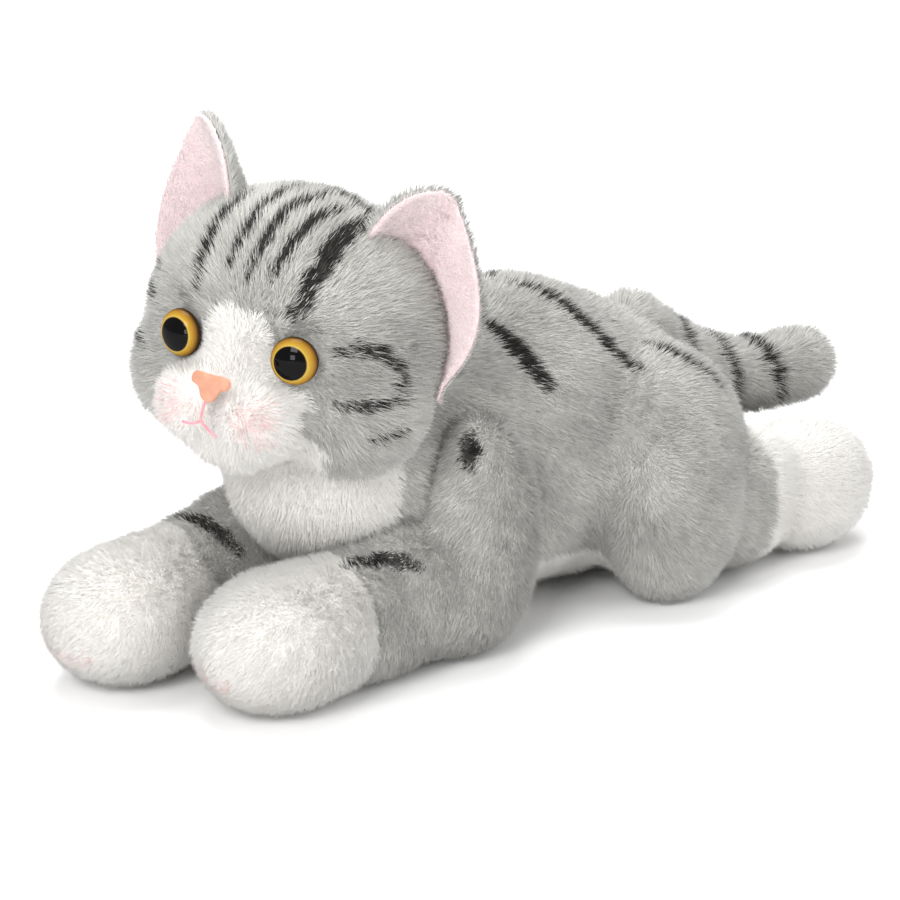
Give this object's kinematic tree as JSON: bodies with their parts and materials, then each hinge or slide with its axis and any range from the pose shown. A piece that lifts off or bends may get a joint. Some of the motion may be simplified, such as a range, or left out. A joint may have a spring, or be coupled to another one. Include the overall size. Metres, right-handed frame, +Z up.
{
  "type": "plush cat",
  "caption": "Lying plush kitten with striped plush cloth, stuffed head, torso, legs and tail joined at soft seams, plastic eyes and a moulded nose.",
  "frame": {"origin": "on the floor under the middle of the kitten's outer box", "axes": "+Z up, the kitten faces -Y, +X towards the kitten's own left side"},
  "size_m": [0.134, 0.327, 0.1729],
  "materials": {
    "grey_plush": "matte",
    "white_plush": "matte",
    "pink_plush": "matte",
    "stuffing": "matte",
    "bean_pouch": "matte",
    "eye": "gloss",
    "washer": "satin",
    "nose": "satin",
    "mouth_thread": "matte",
    "thread": "matte"
  },
  "bodies": {
    "torso": {"back_panel_left": "grey_plush", "back_panel_right": "grey_plush", "belly_panel": "white_plush", "bib_panel": "white_plush", "torso_stuffing": "stuffing", "belly_bean_pouch": "bean_pouch", "closing_stitches": "thread"},
    "neck": {"neck_wad": "stuffing", "neck_thread": "thread"},
    "head": {"face_panel": "white_plush", "forehead_gusset": "grey_plush", "cheek_panel_left": "grey_plush", "cheek_panel_right": "grey_plush", "back_of_head_panel": "grey_plush", "head_stuffing": "stuffing", "eye_left": "eye", "eye_right": "eye", "eye_washer_left": "washer", "eye_washer_right": "washer", "nose": "nose", "mouth_stitching": "mouth_thread"},
    "ear_left": {"ear_outer_left": "grey_plush", "ear_lining_left": "pink_plush"},
    "ear_right": {"ear_outer_right": "grey_plush", "ear_lining_right": "pink_plush"},
    "front_leg_left": {"paw_left": "white_plush", "arm_sleeve_left": "grey_plush", "front_leg_stuffing_left": "stuffing", "front_leg_bean_pouch_left": "bean_pouch"},
    "front_leg_right": {"paw_right": "white_plush", "arm_sleeve_right": "grey_plush", "front_leg_stuffing_right": "stuffing", "front_leg_bean_pouch_right": "bean_pouch"},
    "hind_leg_left": {"thigh_panel_left": "grey_plush", "shank_sleeve_left": "grey_plush", "foot_left": "white_plush", "hind_leg_stuffing_left": "stuffing", "hind_leg_bean_pouch_left": "bean_pouch"},
    "hind_leg_right": {"thigh_panel_right": "grey_plush", "shank_sleeve_right": "grey_plush", "foot_right": "white_plush", "hind_leg_stuffing_right": "stuffing", "hind_leg_bean_pouch_right": "bean_pouch"},
    "tail": {"tail_sleeve": "grey_plush", "tail_stuffing": "stuffing"}
  },
  "joints": [
    {"name": "head_turn", "type": "hinge", "parent": "torso", "child": "neck", "pos_m": [0, -0.08, 0.1146], "axis": [0, 0, 1], "range_deg": [-42, 15], "stiffness_Nm_per_rad": 0.4},
    {"name": "head_nod", "type": "hinge", "parent": "neck", "child": "head", "pos_m": [0, -0.08, 0.1146], "axis": [0.9272, 0.3746, 0], "range_deg": [-12, 10], "stiffness_Nm_per_rad": 0.4},
    {"name": "ear_left_fold", "type": "hinge", "parent": "head", "child": "ear_left", "pos_m": [0.03728, -0.06548, 0.12582], "axis": [0.2852, 0.336, -0.8976], "range_deg": [-12, 12], "stiffness_Nm_per_rad": 0.02},
    {"name": "ear_right_fold", "type": "hinge", "parent": "head", "child": "ear_right", "pos_m": [-0.03424, -0.09437, 0.13325], "axis": [-0.5908, -0.0179, -0.8067], "range_deg": [-12, 12], "stiffness_Nm_per_rad": 0.02},
    {"name": "front_leg_left_swing", "type": "hinge", "parent": "torso", "child": "front_leg_left", "pos_m": [0.032, -0.034, 0.043], "axis": [0, 0, 1], "range_deg": [0, 20]},
    {"name": "front_leg_right_swing", "type": "hinge", "parent": "torso", "child": "front_leg_right", "pos_m": [-0.034, -0.053, 0.043], "axis": [0, 0, 1], "range_deg": [-20, 0]},
    {"name": "hind_leg_left_swing", "type": "hinge", "parent": "torso", "child": "hind_leg_left", "pos_m": [0.044, 0.0485, 0.036], "axis": [0, 0, 1], "range_deg": [-15, 8]},
    {"name": "hind_leg_right_swing", "type": "hinge", "parent": "torso", "child": "hind_leg_right", "pos_m": [-0.044, 0.0485, 0.036], "axis": [0, 0, 1], "range_deg": [-8, 15]},
    {"name": "tail_lift", "type": "hinge", "parent": "torso", "child": "tail", "pos_m": [0, 0.071, 0.083], "axis": [1, 0, 0], "range_deg": [0, 40]}
  ]
}
